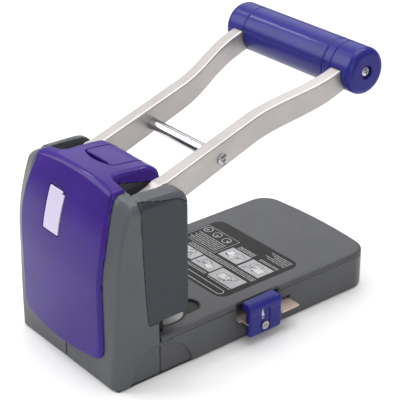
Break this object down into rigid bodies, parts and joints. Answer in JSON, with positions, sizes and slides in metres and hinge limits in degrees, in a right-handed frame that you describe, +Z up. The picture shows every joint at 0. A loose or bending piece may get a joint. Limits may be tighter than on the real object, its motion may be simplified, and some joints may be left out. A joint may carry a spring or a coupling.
{
  "type": "hole punch",
  "caption": "Heavy-duty two-hole lever punch: grey base and head, violet back cover, twin alloy arms with a blue cross grip, side paper guide and chip tray.",
  "frame": {"origin": "on the desk, under the middle of the base's width, 129 mm behind the user's end of the base", "axes": "+Z up, -Y towards the user (open end of the base, where the grip overhangs), +Y towards the back with the coloured cover, +X to the user's right"},
  "size_m": [0.1485, 0.2632, 0.2125],
  "materials": {
    "rubber": "fine matt non-slip rubber",
    "zinc_plate": "zinc-plated sheet",
    "housing_grey": "moulded grey, fine texture",
    "panel_grey": "moulded dark blue-grey, fine texture",
    "cover_violet": "glossy metallic violet",
    "grip_blue": "glossy blue-violet",
    "label_film": "printed dark film, satin",
    "black_plastic": "moulded black",
    "disc_plastic": "light grey moulded",
    "steel": "ground steel",
    "rail_steel": "bright plated strip",
    "bronze": "sintered bronze",
    "arm_alloy": "satin silver casting",
    "chrome": "polished chrome",
    "badge_pale": "pale lavender, satin",
    "screw_zinc": "bright zinc"
  },
  "bodies": {
    "frame": {"rubber_mat": "rubber", "base_plate": "zinc_plate", "base_shell": "housing_grey", "instruction_label": "label_film", "die_plate": "steel", "die_inserts": "black_plastic", "die_discs": "disc_plastic", "rail_channel": "zinc_plate", "head_shell_left": "housing_grey", "head_shell_right": "housing_grey", "side_panel_left": "panel_grey", "side_panel_right": "panel_grey", "back_cover": "cover_violet", "name_plate": "badge_pale", "storage_tub": "housing_grey", "lid_hinge_pin": "steel", "frame_plate_left": "zinc_plate", "frame_plate_right": "zinc_plate", "guide_block": "arm_alloy", "frame_bolts": "screw_zinc", "paper_stop": "zinc_plate", "pivot_axle": "steel", "axle_clips": "steel", "return_springs": "steel", "base_screws": "screw_zinc"},
    "handle": {"axle_bushes": "bronze", "arm_left": "arm_alloy", "arm_right": "arm_alloy", "cross_rod": "chrome", "cross_rod_screws": "chrome", "grip_core": "steel", "grip_upper": "grip_blue", "grip_lower": "grip_blue", "end_cap_left": "grip_blue", "end_cap_right": "grip_blue", "cap_screws": "chrome"},
    "carriage": {"pin_yoke": "zinc_plate", "punch_pin_left": "steel", "punch_pin_right": "steel", "pin_clips": "steel"},
    "paper_guide": {"guide_rail": "rail_steel", "guide_slider": "grip_blue", "guide_screw": "screw_zinc"},
    "chip_tray": {"chip_tray": "black_plastic"},
    "storage_lid": {"storage_lid": "cover_violet"}
  },
  "joints": [
    {"name": "handle_pivot", "type": "hinge", "parent": "frame", "child": "handle", "pos_m": [0, 0.1035, 0.1225], "axis": [1, 0, 0], "range_deg": [0, 34], "stiffness_Nm_per_rad": 2.5, "springref_deg": -31.51},
    {"name": "punch_slide", "type": "slide", "parent": "frame", "child": "carriage", "axis": [0, 0, -1], "range_m": [0, 0.02008], "deforming": ["return_springs"]},
    {"name": "paper_guide_slide", "type": "slide", "parent": "frame", "child": "paper_guide", "axis": [-1, 0, 0], "range_m": [0, 0.085]},
    {"name": "chip_tray_slide", "type": "slide", "parent": "frame", "child": "chip_tray", "axis": [1, 0, 0], "range_m": [0, 0.09]},
    {"name": "storage_lid_hinge", "type": "hinge", "parent": "frame", "child": "storage_lid", "pos_m": [0, 0.0695, 0.1486], "axis": [1, 0, 0], "range_deg": [0, 75]}
  ],
  "couplings": [
    {"joint": "punch_slide", "follows": "handle_pivot", "m_per_rad": 0.033503}
  ]
}
